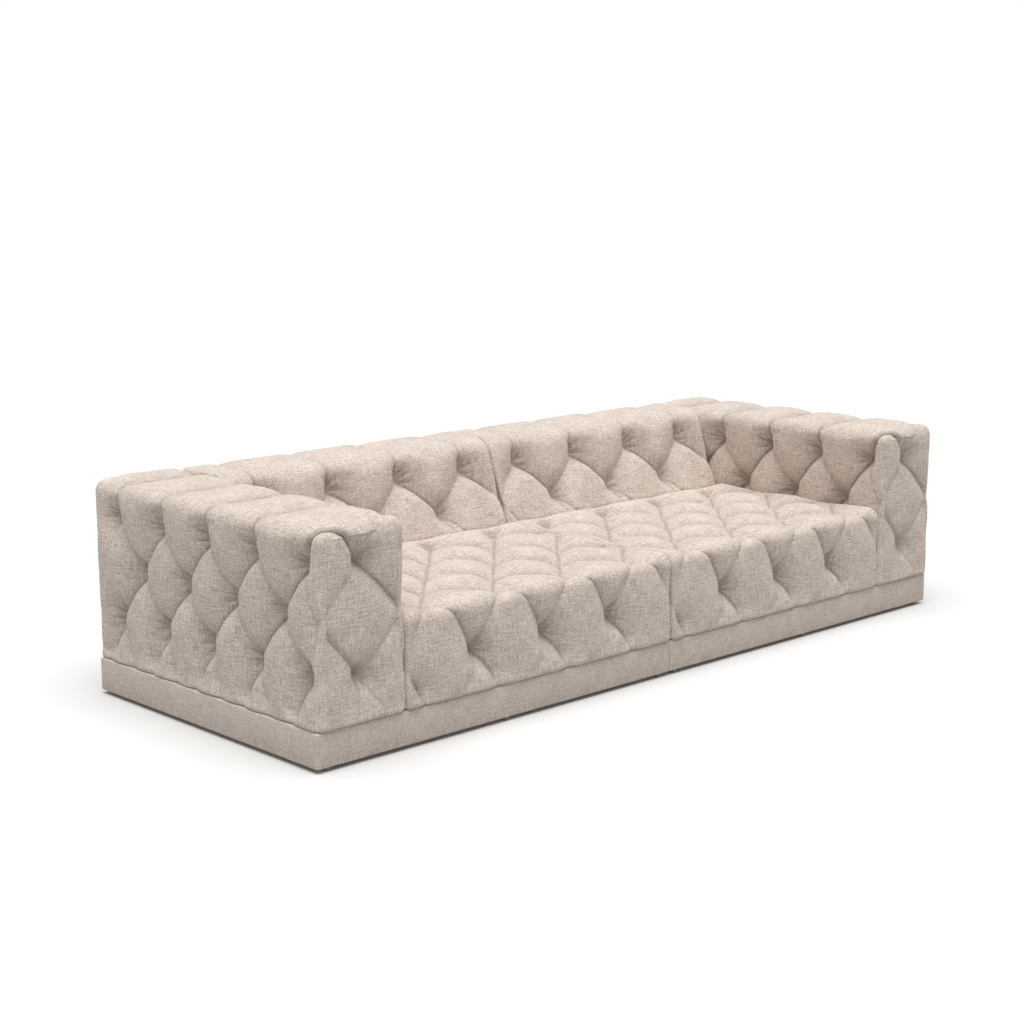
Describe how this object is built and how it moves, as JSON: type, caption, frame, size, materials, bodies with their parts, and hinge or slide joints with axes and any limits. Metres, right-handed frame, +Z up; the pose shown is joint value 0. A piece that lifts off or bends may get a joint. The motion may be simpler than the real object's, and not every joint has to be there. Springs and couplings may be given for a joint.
{
  "type": "sofa",
  "caption": "Low diamond-tufted sofa in two locking halves, with box arms, a raked back, deep tufted seats and an upholstered plinth.",
  "frame": {"origin": "on the floor, under the middle of the sofa's outline", "axes": "+X along the sofa's width, -Y towards the sitter's front, +Z up"},
  "size_m": [2.844, 1.094, 0.682],
  "materials": {
    "upholstery": "matte heathered linen weave",
    "plinth_fabric": "matte heathered linen weave",
    "tie": "matte covered tuft",
    "foam": "open-cell foam",
    "plywood": "raw plywood",
    "timber": "planed pine",
    "dust_cover": "non-woven cloth",
    "glide": "moulded nylon",
    "lock_steel": "zinc-plated steel"
  },
  "bodies": {
    "left_half": {"left_arm_cover": "upholstery", "left_arm_foam": "foam", "left_arm_inner_panel": "plywood", "left_arm_outer_panel": "plywood", "left_arm_ribs": "plywood", "left_arm_top_panel": "plywood", "left_arm_tuft_ties": "tie", "left_back_cover": "upholstery", "left_back_foam": "foam", "left_back_front_panel": "plywood", "left_back_posts": "timber", "left_back_rear_panel": "plywood", "left_back_top_rail": "timber", "left_back_tuft_ties": "tie", "left_catch_plates": "lock_steel", "left_dust_cover": "dust_cover", "left_glides": "glide", "left_plinth_band": "plinth_fabric", "left_plinth_corner_blocks": "timber", "left_plinth_long_rails": "timber", "left_plinth_platform": "plywood", "left_plinth_side_rails": "timber", "left_plinth_stretchers": "timber", "left_seat_cover": "upholstery", "left_seat_cross_rails": "timber", "left_seat_deck": "plywood", "left_seat_foam": "foam", "left_seat_side_rails": "timber", "left_seat_tuft_ties": "tie"},
    "right_half": {"right_arm_cover": "upholstery", "right_arm_foam": "foam", "right_arm_inner_panel": "plywood", "right_arm_outer_panel": "plywood", "right_arm_ribs": "plywood", "right_arm_top_panel": "plywood", "right_arm_tuft_ties": "tie", "right_back_cover": "upholstery", "right_back_foam": "foam", "right_back_front_panel": "plywood", "right_back_posts": "timber", "right_back_rear_panel": "plywood", "right_back_top_rail": "timber", "right_back_tuft_ties": "tie", "right_dust_cover": "dust_cover", "right_glides": "glide", "right_pin_plates": "lock_steel", "right_plinth_band": "plinth_fabric", "right_plinth_corner_blocks": "timber", "right_plinth_long_rails": "timber", "right_plinth_platform": "plywood", "right_plinth_side_rails": "timber", "right_plinth_stretchers": "timber", "right_seat_cover": "upholstery", "right_seat_cross_rails": "timber", "right_seat_deck": "plywood", "right_seat_foam": "foam", "right_seat_side_rails": "timber", "right_seat_tuft_ties": "tie"}
  },
  "joints": [
    {"name": "right_half_lift", "type": "slide", "parent": "left_half", "child": "right_half", "axis": [0, 0, 1], "range_m": [0, 0.06]}
  ]
}
